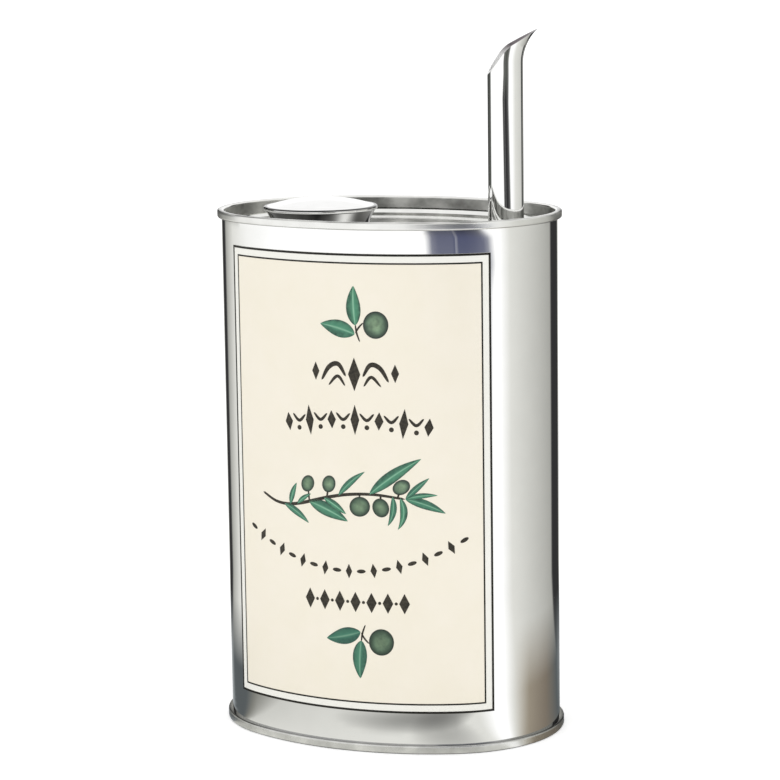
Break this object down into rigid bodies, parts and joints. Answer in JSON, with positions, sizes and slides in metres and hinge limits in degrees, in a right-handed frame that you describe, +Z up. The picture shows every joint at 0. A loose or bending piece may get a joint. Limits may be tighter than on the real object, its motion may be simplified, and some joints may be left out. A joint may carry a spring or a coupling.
{
  "type": "olive oil can",
  "caption": "Shut oval tin for olive oil, with rolled seams, a domed filler cap, a tall pouring spout with a bent lip and a paper label on its front.",
  "frame": {"origin": "middle of the can's base, on the surface it stands on", "axes": "+Z up, +X along the oval's long axis towards the spout, -Y the labelled front"},
  "size_m": [0.0902, 0.067, 0.1792],
  "materials": {
    "can_steel": "polished steel",
    "end_steel": "polished to satin steel",
    "cap_steel": "polished steel",
    "spout_steel": "mirror-polished steel",
    "label_paper": "coated cream paper",
    "label_ink": "printed ink",
    "label_green": "printed green ink"
  },
  "bodies": {
    "root": {"can_body": "can_steel", "top_end": "end_steel", "base_end": "end_steel", "cap": "cap_steel", "spout": "spout_steel", "label": "label_paper"}
  },
  "joints": []
}
